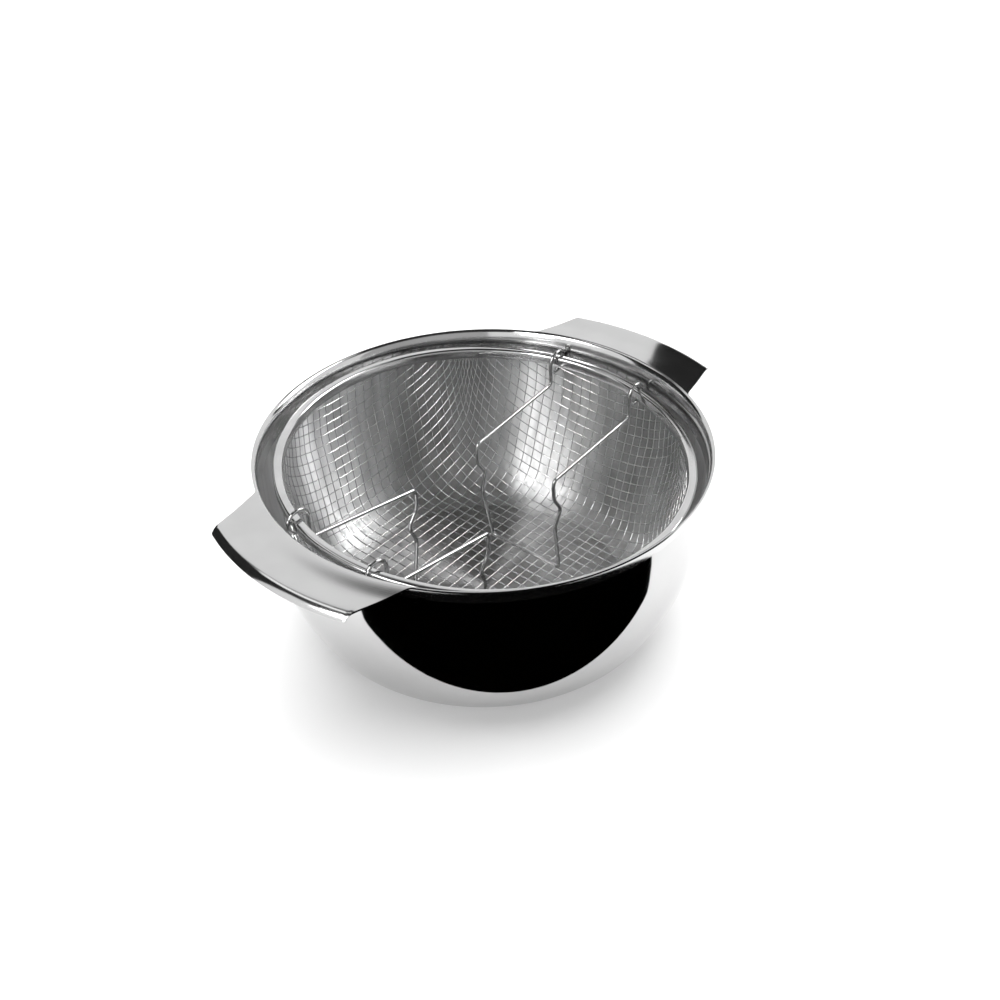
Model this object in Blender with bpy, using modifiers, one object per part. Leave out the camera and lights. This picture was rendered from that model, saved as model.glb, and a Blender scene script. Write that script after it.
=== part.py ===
"""Stovetop deep fryer: a steel pan with two wing handles and a wire basket with two folding bails.

Units are metres. +Z is up, +X runs along the two handles, and the origin is on the surface
that the pan stands on, under the middle of its base.
"""

import math

import bmesh
import bpy
from mathutils import Matrix, Vector

# Pan: one pressed sheet, 1 mm thick, from the floor out to the tips of both handles
PAN_HEIGHT = 0.114
SHEET = 0.001
RIM_RADIUS = 0.125
WALL_RADIUS = 0.1223
LIP_HEIGHT = 0.008
STRAIGHT_WALL = 0.030
WALL_ARC = 0.135
CORNER_ARC = 0.026
UNDERSIDE = 0.0054

# Handles: the same sheet carried on past the rim, slightly dished behind it and turned down at the tip
TIP_RADIUS = 0.153
TIP_CORNER = Vector((0.1445, 0.0486))
SIDE_TAPER = math.radians(13.7)
ROOT_FILLET = 0.0045
DISH_DEPTH = 0.0004
CREASE_RADIUS = 0.149
TIP_DROP = 0.0026

# Base: an aluminium disc under the pan's floor, with a thin steel cup pressed over it
CORE_RADIUS = 0.0785
CAP_RADIUS = 0.0796
CAP_WALL = 0.0006
GAP = 0.0003

# Basket: its frame is the level of the top of its rim, which lies a little below the pan's rim
BASKET_DROP = 0.0083
BASKET_SHIFT = (0.0010, -0.0010)
BASKET_TURN = math.radians(4.0)
BASKET_TILT_X = math.radians(2.3)
BASKET_TILT_Y = math.radians(1.0)
RING_OUTER = 0.1158
RING_INNER = 0.1104
RING_INSIDE_HEIGHT = 0.0060
RING_OUTSIDE_HEIGHT = 0.0046
RING_ROUND = 0.0016
RING_SHEET = 0.0006
SEAM_ANGLE = math.radians(-42.0)
SEAM_GAP = 0.0004
CORE_WIRE = 0.0025
MESH_THICKNESS = 0.0014
MESH_TOP = -0.0039
MESH_FLOOR = -0.0956
MESH_FLOOR_RADIUS = 0.082
MESH_CORNER = 0.020
MESH_STRAIGHT = -0.028

# Bails: bent wire, each with two open loops round the basket's rim
BAIL_WIRE = 0.0022
LOOP_RADIUS = 0.0066
LOOP_SPREAD = 0.0288
TAIL_ANGLE = -106.0
HINGE_REACH = 0.1075
HINGE_LEVEL = -0.0029
STAND_OFF = 0.0131
ARM_REACH = 0.0805
ARM_SPREAD = 0.0277
ELBOW_DROP = 0.0181
BEND_RADIUS = 0.0022
# Along each arm after the elbow: how far back towards the rim, how far down, and how far the arm
# has drawn in towards the middle by then
ARM_SHAPE = ((-0.0014, 0.0027, 0.0), (-0.0011, 0.0128, 0.0), (0.0054, 0.0223, 0.0),
             (0.0004, 0.0328, 0.0008), (0.0061, 0.0670, 0.0027))
# Each bail: turn about the basket, how far its middle sits aside, how much it is swung down,
# and how far it leans sideways for each unit of depth
BAILS = {
    "rear_bail": (0.0, 0.0010, 0.0, 0.085),
    "front_bail": (math.radians(176.2), -0.0025, math.radians(-3.2), -0.095),
}
SLOT_TOP = -0.0064
SLOT_BOTTOM = -0.0126
SLOT_WIDTH = 0.0040

ROUND_STEPS = 64


def clear_scene():
    for thing in list(bpy.data.objects):
        bpy.data.objects.remove(thing, do_unlink=True)


def new_collection(name):
    collection = bpy.data.collections.new(name)
    bpy.context.scene.collection.children.link(collection)
    return collection


def steel(name, colour, roughness):
    material = bpy.data.materials.new(name)
    material.use_nodes = True
    shader = material.node_tree.nodes["Principled BSDF"]
    shader.inputs["Base Color"].default_value = (*colour, 1.0)
    shader.inputs["Roughness"].default_value = roughness
    shader.inputs["Metallic"].default_value = 1.0
    return material


def add_object(name, data, collection, material):
    thing = bpy.data.objects.new(name, data)
    if material:
        data.materials.append(material)
    collection.objects.link(thing)
    return thing


def add_modifier(thing, name, kind, **settings):
    modifier = thing.modifiers.new(name, kind)
    for key, value in settings.items():
        setattr(modifier, key, value)
    return modifier


def smooth(mesh):
    mesh.shade_smooth()
    mesh.set_sharp_from_angle(angle=math.radians(35.0))


def arc(centre, radius, start, end, steps):
    """Points on an arc in the plane of radius and height, angles in degrees."""
    points = []
    for step in range(steps + 1):
        angle = math.radians(start + (end - start) * step / steps)
        points.append((centre[0] + radius * math.cos(angle), centre[1] + radius * math.sin(angle)))
    return points


def turned(name, outline, collection, material):
    """A closed outline in the plane of radius and height, turned about Z."""
    mesh = bpy.data.meshes.new(name)
    shape = bmesh.new()
    points = [shape.verts.new((radius, 0.0, height)) for radius, height in outline]
    on_axis = outline[0][0] < 1e-9 and outline[-1][0] < 1e-9
    closing = points[1:] if on_axis else points[1:] + points[:1]
    for start, end in zip(points, closing):
        shape.edges.new((start, end))
    shape.to_mesh(mesh)
    shape.free()
    thing = add_object(name, mesh, collection, material)
    add_modifier(thing, "turn", "SCREW", axis="Z", angle=math.tau, steps=ROUND_STEPS,
                 render_steps=ROUND_STEPS, use_merge_vertices=True, merge_threshold=0.00001,
                 use_smooth_shade=True)
    return thing


# --- pan -------------------------------------------------------------------------------------

def pan_profile():
    """The sheet's outer face from its flat underside up to the edge of the rim."""
    rim = PAN_HEIGHT - SHEET
    wall_centre = (WALL_RADIUS - WALL_ARC, rim - STRAIGHT_WALL)
    reach = WALL_ARC - CORNER_ARC
    corner_height = UNDERSIDE + CORNER_ARC
    across = math.sqrt(reach ** 2 - (wall_centre[1] - corner_height) ** 2)
    corner_centre = (wall_centre[0] + across, corner_height)
    meeting = math.degrees(math.atan2(corner_height - wall_centre[1], across))
    points = [(0.4 * corner_centre[0], UNDERSIDE)]
    points += arc(corner_centre, CORNER_ARC, -90.0, meeting, 5)
    points += arc(wall_centre, WALL_ARC, meeting, 0.0, 4)[1:]
    for step in range(5):
        angle = math.radians(22.5 * step)
        points.append((WALL_RADIUS + (RIM_RADIUS - WALL_RADIUS) * (1.0 - math.cos(angle)),
                       rim - LIP_HEIGHT * (1.0 - math.sin(angle))))
    return points


def wing_height(radius):
    """Height of the sheet's underside past the rim: a slight dish behind it, then a turned-down tip."""
    rim = PAN_HEIGHT - SHEET
    if radius > CREASE_RADIUS:
        along = (radius - CREASE_RADIUS) / (TIP_RADIUS - CREASE_RADIUS)
        return rim - TIP_DROP * along ** 2
    along = (radius - RIM_RADIUS) / (CREASE_RADIUS - RIM_RADIUS)
    return rim - DISH_DEPTH * math.sin(math.pi * along) ** 2


def wing_fillet():
    """Centre of the small round in the corner between a handle's side and the rim."""
    normal = Vector((math.sin(SIDE_TAPER), math.cos(SIDE_TAPER)))
    along = Vector((math.cos(SIDE_TAPER), -math.sin(SIDE_TAPER)))
    outward = normal.dot(TIP_CORNER) + ROOT_FILLET
    sideways = math.sqrt((RIM_RADIUS + ROOT_FILLET) ** 2 - outward ** 2)
    return normal * outward + along * sideways, normal


def outline_radius(angle):
    """How far the sheet reaches at an angle in degrees, measured from the nearest handle's middle."""
    centre, normal = wing_fillet()
    angle = math.radians(abs(angle))
    if angle <= math.atan2(TIP_CORNER.y, TIP_CORNER.x):
        return TIP_RADIUS
    if angle >= math.atan2(centre.y, centre.x):
        return RIM_RADIUS
    ray = Vector((math.cos(angle), math.sin(angle)))
    touch = centre - normal * ROOT_FILLET
    if angle <= math.atan2(touch.y, touch.x):
        return normal.dot(TIP_CORNER) / normal.dot(ray)
    middle = ray.dot(centre)
    return middle - math.sqrt(middle ** 2 - centre.length_squared + ROOT_FILLET ** 2)


def column_angles():
    """Angles of the sheet's radial sections, closer together where a handle's side is cut."""
    near_side = (17.2, 18.59, 20.5, 22.5, 26.5, 27.2, 27.95)
    angles = set(range(-90, 90, 5))
    angles.update(near_side)
    angles.update(-angle for angle in near_side)
    angles -= {-20, 20}
    return sorted(angles)


def polar(angle, radius, height):
    return (radius * math.cos(angle), radius * math.sin(angle), height)


def skin(shape, inner, outer):
    """Faces between two rows of points, leaving out the edges that have shrunk to a point."""
    for index in range(len(inner)):
        following = (index + 1) % len(inner)
        corners = (inner[index], inner[following], outer[following], outer[index])
        loop = []
        for corner in corners:
            if corner not in loop:
                loop.append(corner)
        if len(loop) > 2:
            shape.faces.new(loop)


def build_pan(collection, material):
    shape = bmesh.new()
    half = column_angles()
    columns = [(math.radians(angle), outline_radius(angle)) for angle in half]
    columns += [(math.radians(angle + 180.0), outline_radius(angle)) for angle in half]
    profile = pan_profile()
    rows = []
    for radius, height in profile:
        rows.append([shape.verts.new(polar(angle, radius, height)) for angle, _ in columns])
    middle = shape.verts.new((0.0, 0.0, UNDERSIDE))
    for index in range(len(columns)):
        shape.faces.new((middle, rows[0][(index + 1) % len(columns)], rows[0][index]))
    crease = (CREASE_RADIUS - RIM_RADIUS) / (TIP_RADIUS - RIM_RADIUS)
    for part in (0.12, 0.28, 0.46, 0.66, crease, 0.5 * (1.0 + crease), 1.0):
        row = []
        for index, (angle, reach) in enumerate(columns):
            radius = RIM_RADIUS + part * (reach - RIM_RADIUS)
            if reach - RIM_RADIUS < 0.00005:
                row.append(rows[len(profile) - 1][index])
            else:
                row.append(shape.verts.new(polar(angle, radius, wing_height(radius))))
        rows.append(row)
    for inner, outer in zip(rows, rows[1:]):
        skin(shape, inner, outer)
    mesh = bpy.data.meshes.new("pot_body")
    shape.to_mesh(mesh)
    shape.free()
    smooth(mesh)
    pan = add_object("pot_body", mesh, collection, material)
    add_modifier(pan, "sheet", "SOLIDIFY", thickness=SHEET, offset=-1.0, use_even_offset=True)
    return pan


def build_base(collection, core_material, cap_material):
    floor = CAP_WALL + GAP
    top = UNDERSIDE - GAP
    core = [(0.0, top), (CORE_RADIUS, top), (CORE_RADIUS, floor), (0.0, floor)]
    turned("base_core", core, collection, core_material)
    wall = CAP_RADIUS - CAP_WALL
    cap = [(0.0, CAP_WALL), (wall, CAP_WALL), (wall, top), (CAP_RADIUS, top),
           (CAP_RADIUS, CAP_WALL), (CAP_RADIUS - CAP_WALL, 0.0), (0.0, 0.0)]
    turned("base_cap", cap, collection, cap_material)


# --- basket ----------------------------------------------------------------------------------

def basket_frame(collection):
    """An empty at the middle of the basket's rim, turned and tipped as the basket sits."""
    frame = bpy.data.objects.new("basket_frame", None)
    collection.objects.link(frame)
    place = Matrix.Translation((*BASKET_SHIFT, PAN_HEIGHT - BASKET_DROP))
    tilt = Matrix.Rotation(BASKET_TILT_X, 4, "X") @ Matrix.Rotation(BASKET_TILT_Y, 4, "Y")
    frame.matrix_world = place @ tilt @ Matrix.Rotation(BASKET_TURN, 4, "Z")
    return frame


def ring_outline():
    """Section of the rolled rim strip: a rounded top with one side down inside, one outside."""
    skin_in = RING_ROUND - RING_SHEET
    left = (RING_INNER + RING_ROUND, -RING_ROUND)
    right = (RING_OUTER - RING_ROUND, -RING_ROUND)
    outline = arc(right, skin_in, 0.0, 90.0, 2) + arc(left, skin_in, 90.0, 180.0, 2)
    outline.append((RING_INNER + RING_SHEET, -RING_INSIDE_HEIGHT))
    outline.append((RING_INNER, -RING_INSIDE_HEIGHT))
    outline += arc(left, RING_ROUND, 180.0, 90.0, 2) + arc(right, RING_ROUND, 90.0, 0.0, 2)
    outline.append((RING_OUTER, -RING_OUTSIDE_HEIGHT))
    outline.append((RING_OUTER - RING_SHEET, -RING_OUTSIDE_HEIGHT))
    return outline


def mesh_outline():
    """Section of the pressed basket: a slightly tapered wall, a rounded corner and a flat floor."""
    top_radius = RING_INNER + RING_SHEET + GAP + MESH_THICKNESS
    corner = (MESH_FLOOR_RADIUS, MESH_FLOOR + MESH_CORNER)
    wall_end = (top_radius, MESH_STRAIGHT)
    run = math.hypot(wall_end[0] - corner[0], wall_end[1] - corner[1])
    lean = math.acos(MESH_CORNER / run)
    facing = math.degrees(math.atan2(wall_end[1] - corner[1], wall_end[0] - corner[0]) - lean)
    inner_corner = MESH_CORNER - MESH_THICKNESS
    outside = [(0.0, MESH_FLOOR)]
    outside += arc(corner, MESH_CORNER, -90.0, facing, 5)
    outside += [wall_end, (top_radius, MESH_TOP)]
    inside = [(top_radius - MESH_THICKNESS, MESH_TOP), (top_radius - MESH_THICKNESS, MESH_STRAIGHT)]
    inside += arc(corner, inner_corner, facing, -90.0, 5)
    inside.append((0.0, MESH_FLOOR + MESH_THICKNESS))
    return [*reversed(inside), *reversed(outside)]


def cut(thing, cutter):
    cutter.hide_render = True
    cutter.display_type = "WIRE"
    add_modifier(thing, "cut_" + cutter.name, "BOOLEAN", operation="DIFFERENCE", solver="EXACT",
                 object=cutter)


def add_box(name, size, collection):
    mesh = bpy.data.meshes.new(name)
    shape = bmesh.new()
    bmesh.ops.create_cube(shape, size=1.0)
    bmesh.ops.scale(shape, vec=size, verts=shape.verts)
    shape.to_mesh(mesh)
    shape.free()
    return add_object(name, mesh, collection, None)


def build_ring(frame, collection, cutters, material):
    ring = turned("basket_rim", ring_outline(), collection, material)
    ring.parent = frame
    width = RING_OUTER - RING_INNER + 0.004
    seam = add_box("rim_seam", (width, SEAM_GAP, 0.02), cutters)
    seam.parent = frame
    seam.location = polar(SEAM_ANGLE, 0.5 * (RING_OUTER + RING_INNER), 0.0)
    seam.rotation_euler = (0.0, 0.0, SEAM_ANGLE)
    cut(ring, seam)


def build_core_wire(frame, collection, material):
    middle = 0.5 * (RING_OUTER + RING_INNER)
    bpy.ops.mesh.primitive_torus_add(major_radius=middle, minor_radius=0.5 * CORE_WIRE,
                                     major_segments=ROUND_STEPS, minor_segments=8)
    wire = bpy.context.object
    wire.name = "rim_core_wire"
    wire.data.materials.append(material)
    wire.data.shade_smooth()
    for holder in list(wire.users_collection):
        holder.objects.unlink(wire)
    collection.objects.link(wire)
    wire.parent = frame
    wire.location = (0.0, 0.0, -(RING_SHEET + GAP + 0.5 * CORE_WIRE))


def build_mesh_bowl(frame, collection, cutters, material):
    bowl = turned("basket_mesh", mesh_outline(), collection, material)
    bowl.parent = frame
    for name, (turn, aside, _, _) in BAILS.items():
        for side in (1, -1):
            slot = add_box(name + ("_slot_left" if side > 0 else "_slot_right"),
                           (0.012, SLOT_WIDTH, SLOT_TOP - SLOT_BOTTOM), cutters)
            slot.parent = frame
            middle = Vector((HINGE_REACH, aside + side * LOOP_SPREAD, 0.5 * (SLOT_TOP + SLOT_BOTTOM)))
            slot.location = Matrix.Rotation(turn, 3, "Z") @ middle
            slot.rotation_euler = (0.0, 0.0, turn)
            cut(bowl, slot)


# --- bails -----------------------------------------------------------------------------------

def hinge_place(name):
    """A bail's hinge in the basket's frame: +Y along the hinge, -X towards the basket's middle."""
    turn, aside, swing, _ = BAILS[name]
    spot = Matrix.Rotation(turn, 4, "Z") @ Vector((HINGE_REACH, aside, HINGE_LEVEL))
    return Matrix.Translation(spot) @ Matrix.Rotation(turn, 4, "Z") @ Matrix.Rotation(swing, 4, "Y")


def rounded(points, radius, steps):
    """The same path with each corner replaced by a short curve."""
    path = [points[0]]
    for before, corner, after in zip(points, points[1:], points[2:]):
        cut_length = min(radius, 0.45 * (before - corner).length, 0.45 * (after - corner).length)
        start = corner + (before - corner).normalized() * cut_length
        end = corner + (after - corner).normalized() * cut_length
        for step in range(steps + 1):
            part = step / steps
            path.append(start * (1 - part) ** 2 + corner * 2 * part * (1 - part) + end * part ** 2)
    path.append(points[-1])
    return path


def bail_path(lean):
    """The wire's centre line about its hinge, from one loop's tail to the other's."""
    loop = [Vector((x, LOOP_SPREAD, z))
            for x, z in arc((0.0, 0.0), LOOP_RADIUS, TAIL_ANGLE, 180.0, 19)]
    shoulder = Vector((-LOOP_RADIUS, 0.9 * LOOP_SPREAD + 0.1 * ARM_SPREAD, -STAND_OFF))
    elbow = Vector((-ARM_REACH, ARM_SPREAD, -ELBOW_DROP))
    arm = [shoulder, elbow]
    for back, down, inwards in ARM_SHAPE:
        arm.append(elbow + Vector((back, -inwards, -down)))
    mirrored = [Vector((point.x, -point.y, point.z)) for point in reversed(arm)]
    leaning = [point + Vector((0.0, lean * point.z, 0.0)) for point in arm + mirrored]
    far_loop = [Vector((point.x, -point.y, point.z)) for point in reversed(loop)]
    bends = rounded([loop[-1]] + leaning + [far_loop[0]], BEND_RADIUS, 3)
    return loop[:-1] + bends + far_loop[1:]


def build_bail(name, frame, collection, material):
    hinge = bpy.data.objects.new(name + "_hinge", None)
    collection.objects.link(hinge)
    hinge.parent = frame
    hinge.matrix_local = hinge_place(name)
    curve = bpy.data.curves.new(name, "CURVE")
    curve.dimensions = "3D"
    curve.bevel_depth = 0.5 * BAIL_WIRE
    curve.bevel_resolution = 2
    curve.use_fill_caps = True
    path = bail_path(BAILS[name][-1])
    spline = curve.splines.new("POLY")
    spline.points.add(len(path) - 1)
    for point, place in zip(spline.points, path):
        point.co = (*place, 1.0)
    bail = add_object(name, curve, collection, material)
    bail.parent = hinge


def build():
    clear_scene()
    parts = new_collection("deep_fryer")
    cutters = new_collection("cutters")
    polished = steel("polished_steel", (0.78, 0.78, 0.78), 0.08)
    brushed = steel("brushed_steel", (0.66, 0.66, 0.66), 0.30)
    aluminium = steel("aluminium", (0.75, 0.76, 0.78), 0.45)
    wire = steel("bright_wire", (0.74, 0.74, 0.74), 0.15)
    build_pan(parts, polished)
    build_base(parts, aluminium, brushed)
    frame = basket_frame(parts)
    build_ring(frame, parts, cutters, polished)
    build_core_wire(frame, parts, wire)
    build_mesh_bowl(frame, parts, cutters, wire)
    for name in BAILS:
        build_bail(name, frame, parts, wire)


build()
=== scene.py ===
"""The looks of the stovetop deep fryer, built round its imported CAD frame.

Metres, +Z up, +X along the handles. The pan, its base cup, the basket's rim, its mesh and both
bails are made again here with fine surfaces in the places that the CAD gives them.
"""

import math

import bmesh
import bpy
import numpy as np
from mathutils import Matrix, Vector


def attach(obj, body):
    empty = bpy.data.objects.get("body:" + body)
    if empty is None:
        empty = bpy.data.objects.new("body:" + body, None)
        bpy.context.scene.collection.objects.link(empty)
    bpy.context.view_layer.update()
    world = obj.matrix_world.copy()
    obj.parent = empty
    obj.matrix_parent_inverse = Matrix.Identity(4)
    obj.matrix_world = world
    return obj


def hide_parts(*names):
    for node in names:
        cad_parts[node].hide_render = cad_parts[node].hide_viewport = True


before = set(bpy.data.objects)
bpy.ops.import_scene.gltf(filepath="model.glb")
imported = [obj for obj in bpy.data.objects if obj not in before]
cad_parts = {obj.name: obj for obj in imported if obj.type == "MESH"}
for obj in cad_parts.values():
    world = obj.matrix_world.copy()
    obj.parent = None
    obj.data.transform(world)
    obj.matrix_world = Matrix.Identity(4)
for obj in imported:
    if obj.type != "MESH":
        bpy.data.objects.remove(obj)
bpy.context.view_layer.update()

# --- sizes of the CAD --------------------------------------------------------------------------

# As in the CAD, but the handles' TIP_RADIUS is 0.1 mm less, MESH_TOP is 0.3 mm lower, the mesh's
# other sizes are those of its shell's middle surface, and BEND_RADIUS is how far from its corner a
# bend's curve starts.

SHEET = 0.001
RIM_RADIUS = 0.125
PAN_HEIGHT = 0.114
WALL_RADIUS = 0.1223
LIP_HEIGHT = 0.008
STRAIGHT_WALL = 0.030
WALL_ARC = 0.135
CORNER_ARC = 0.026
UNDERSIDE = 0.0054

TIP_RADIUS = 0.1529
TIP_CORNER = Vector((0.1445, 0.0486))
SIDE_TAPER = math.radians(13.7)
ROOT_FILLET = 0.0045
DISH_DEPTH = 0.0004
CREASE_RADIUS = 0.149
TIP_DROP = 0.0026

CAP_RADIUS = 0.0796
CAP_WALL = 0.0006
CAP_HEIGHT = 0.0051

BASKET_DROP = 0.0083
BASKET_SHIFT = (0.0010, -0.0010)
BASKET_TURN = math.radians(4.0)
BASKET_TILT_X = math.radians(2.3)
BASKET_TILT_Y = math.radians(1.0)
RING_OUTER = 0.1158
RING_INNER = 0.1104
RING_INSIDE_HEIGHT = 0.0060
RING_OUTSIDE_HEIGHT = 0.0046
RING_ROUND = 0.0016
RING_SHEET = 0.0006
SEAM_ANGLE = math.radians(-42.0)
SEAM_GAP = 0.0004

MESH_RADIUS = 0.1120
MESH_TOP = -0.0042
MESH_STRAIGHT = -0.028
MESH_FLOOR = -0.0949
MESH_FLOOR_RADIUS = 0.082
MESH_CORNER = 0.0193

BAIL_WIRE = 0.0022
LOOP_RADIUS = 0.0066
LOOP_SPREAD = 0.0288
TAIL_ANGLE = -106.0
HINGE_REACH = 0.1075
HINGE_LEVEL = -0.0029
STAND_OFF = 0.0131
ARM_REACH = 0.0805
ARM_SPREAD = 0.0277
ELBOW_DROP = 0.0181
BEND_RADIUS = 0.0030
ARM_SHAPE = ((-0.0014, 0.0027, 0.0), (-0.0011, 0.0128, 0.0), (0.0054, 0.0223, 0.0),
             (0.0004, 0.0328, 0.0008), (0.0061, 0.0670, 0.0027))
# Each bail's turn about the basket, shift along the hinge, swing about it and sideways lean
BAILS = {
    "rear_bail": (0.0, 0.0010, 0.0, 0.085),
    "front_bail": (math.radians(176.2), -0.0025, math.radians(-3.2), -0.095),
}

# --- finer details -----------------------------------------------------------------------------

EDGE_ROUND = 0.00028
CAP_ROUND = 0.0006
END_ROUND = 0.0003
RING_CHAMFER = 0.0002
# The small unevenness that rolling leaves in the strip: depth, waves round it, phase
RING_WAVES = ((0.00010, 7.0, 0.6), (0.00006, 17.0, 2.1), (0.00004, 31.0, 4.0))
# The woven wires. The net is laid out to a height past the rim, then cut off at MESH_TOP.
MESH_PITCH = 0.00635
MESH_WIRE = 0.0006
MESH_WAVE = 0.00004
MESH_LAID_TO = 0.03
LOOP_GAP = 0.0003

# --- fineness ----------------------------------------------------------------------------------

# Degrees between the pan's radial sections, and between the closer ones along a handle's side
COLUMN_STEP = 1.5
SIDE_COLUMN_STEP = 0.35
SIDE_COLUMNS = 28
COLUMN_GAP = 0.5
PROFILE_STEPS = 20
LIP_STEPS = 12
WING_ROWS = 18
TIP_ROWS = 8
# A handle that reaches less than this past the rim has ended
SHRUNK = 0.00005
MERGE = 0.000001
RING_STEPS = 240
TURN_STEPS = 192
WIRE_SIDES = 6
WEAVE_STEPS = 3
BAIL_SIDES = 14
LOOP_STEPS = 48
BEND_STEPS = 8

# How the net's knots are found: rounds, closeness, trial step, the largest move in such steps, and
# the least radius for which a trial turn is worked out
KNOT_ROUNDS = 12
KNOT_CLOSENESS = 0.0000001
KNOT_STEP = 0.00001
KNOT_MOVE = 200.0
KNOT_RADIUS = 0.001
# Length on either side of a point over which the basket's slope is taken there
NORMAL_STEP = 0.0008

# --- finishes ----------------------------------------------------------------------------------

# The pan's finishes in the order of its material slots, and where those inside it end. The bottom
# finish is the satin steel with painted shade: a darker grey standing for the dark ceiling the floor
# reflects
PAN_FINISHES = ("polished", "satin", "lip", "bottom")
SATIN_TOP = 0.098
PAINTED_SHADE_RADIUS = 0.0835
# The usual range of a noise texture's values
NOISE_RANGE = (0.3, 0.7)
SMUDGE_DETAIL = 4.0
GRAIN_DETAIL = 3.0
# A quarter turn, so that a brushed finish draws reflections out across its rings
ACROSS_RINGS = 0.25
EVEN = (1.0, 1.0, 1.0)
# The brushed inside: scale and stretch of its smudges, then scale, stretch and depth of its lines
SATIN_CLOUD = (110.0, (1.0, 1.0, 0.03))
SATIN_GRAIN = (1400.0, (1.0, 1.0, 0.01), 0.00001)

# --- camera ------------------------------------------------------------------------------------

# The eye's place is seen from the rim's middle; its turns are in radians
HANDLE_AZIMUTH = math.radians(46.25)
EYE_ELEVATION = 0.5926
EYE_DISTANCE = 5.141 * RIM_RADIUS
EYE_YAW = 0.0127
EYE_PITCH = -0.0511
EYE_ROLL = -0.0307
LENS = 42.48
SENSOR_WIDTH = 36.0
NEAR_CLIP = 0.01

# --- studio ------------------------------------------------------------------------------------

# Sky: sine of the height above the horizon, and brightness there
SKY_LOW = (0.0, 1.0)
SKY_HIGH = (0.67, 1.0)
SKY_TOP = (0.72, 0.04)
SKY_STRENGTH = 1.0
FLOOR_SIZE = 24.0
FLOOR_TONE = 0.92
FLOOR_ROUGHNESS = 0.9
# The floor's glow near the part and far from it, and the distances between which it rises
FLOOR_GLOW = (0.15, 1.0)
FLOOR_GLOW_REACH = (0.9, 4.0)
TOP_LIGHT_SIZE = 3.0
TOP_LIGHT_HEIGHT = 2.4
TOP_LIGHT_BACK = 0.3
TOP_LIGHT_POWER = 86.0
# The white table ends along a slanting line in front of the part, with darkness beyond it: a card
# this deep and twice as wide
FRONT_EDGE = -0.117
FRONT_EDGE_ANGLE = math.radians(8.8)
FRONT_CARD = 1.6
# Upright cards: azimuth in the camera's frame, distance, width, bottom, top, brightness
STANDING_CARDS = (
    ("camera_flag", -60.0, 1.6, 2.2, 0.0, 2.2, 0.5),
    ("left_flag", 158.0, 1.5, 1.5, 0.0, 2.0, 0.02),
    ("right_softbox", 26.0, 1.4, 0.52, 0.6, 2.2, 15.0),
    ("back_softbox", -122.0, 1.3, 0.34, 0.6, 2.2, 9.5),
    ("left_softbox", -147.0, 1.3, 0.55, 1.05, 2.4, 8.5),
)
# Cards overhead that face the middle: azimuth, elevation, distance, width, height, brightness
RAISED_CARDS = (
    ("raised_right", 42.0, 56.0, 1.5, 0.5, 0.5, 1.3),
    ("raised_left", 138.0, 60.0, 1.5, 0.5, 0.5, 1.3),
)
# A dim card on the floor behind the part: its corners' places right and away in the camera's frame
REAR_VOID = ((-1.5, 0.40), (1.5, 0.40), (1.5, 1.9), (-1.5, 1.9))
REAR_VOID_LEVEL = 0.25
# A small upright card just behind the far handle: its corners' places right and up
HANDLE_FLAG = ((0.144, 0.130), (0.220, 0.130), (0.220, 0.240), (0.096, 0.240))
HANDLE_FLAG_AWAY = 0.200
HANDLE_FLAG_LEVEL = 0.02
# How far the cards that lie on the floor are above it
CARD_LIFT = 0.0005


# --- general helpers -----------------------------------------------------------------------------

def add_object(name, mesh, *materials):
    for material in materials:
        mesh.materials.append(material)
    thing = bpy.data.objects.new(name, mesh)
    bpy.context.scene.collection.objects.link(thing)
    return thing


def mesh_from(name, points, faces):
    mesh = bpy.data.meshes.new(name)
    mesh.from_pydata([tuple(point) for point in points], [], faces)
    mesh.update()
    mesh.shade_smooth()
    return mesh


def flat_mesh(name, corners):
    """One level face."""
    return mesh_from(name, [(*corner, 0.0) for corner in corners], [tuple(range(len(corners)))])


def apply_modifiers(thing):
    bpy.context.view_layer.update()
    evaluated = thing.evaluated_get(bpy.context.evaluated_depsgraph_get())
    baked = bpy.data.meshes.new_from_object(evaluated)
    old = thing.data
    thing.modifiers.clear()
    thing.data = baked
    bpy.data.meshes.remove(old)


def add_modifier(thing, name, kind, **settings):
    modifier = thing.modifiers.new(name, kind)
    for key, value in settings.items():
        setattr(modifier, key, value)


def arc(centre, radius, start, end, steps):
    """Points on an arc in the plane of radius and height, angles in degrees."""
    points = []
    for step in range(steps + 1):
        angle = math.radians(start + (end - start) * step / steps)
        points.append((centre[0] + radius * math.cos(angle), centre[1] + radius * math.sin(angle)))
    return points


def sweep(path, normals, radius, sides, first):
    """A capped tube along a path; the normals keep it from twisting. first numbers its points."""
    path = np.asarray(path)
    tangents = np.gradient(path, axis=0)
    tangents /= np.linalg.norm(tangents, axis=1)[:, None]
    normals = normals - tangents * np.sum(normals * tangents, axis=1)[:, None]
    normals /= np.linalg.norm(normals, axis=1)[:, None]
    across = np.cross(tangents, normals)
    angles = np.arange(sides) * math.tau / sides
    rings = (path[:, None, :] + radius * (np.cos(angles)[None, :, None] * normals[:, None, :]
                                          + np.sin(angles)[None, :, None] * across[:, None, :]))
    points = rings.reshape(-1, 3)
    faces = []
    for row in range(len(path) - 1):
        for side in range(sides):
            following = (side + 1) % sides
            faces.append((first + row * sides + side, first + row * sides + following,
                          first + (row + 1) * sides + following, first + (row + 1) * sides + side))
    last = first + (len(path) - 1) * sides
    faces.append(tuple(first + side for side in reversed(range(sides))))
    faces.append(tuple(last + side for side in range(sides)))
    return points, faces


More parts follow.
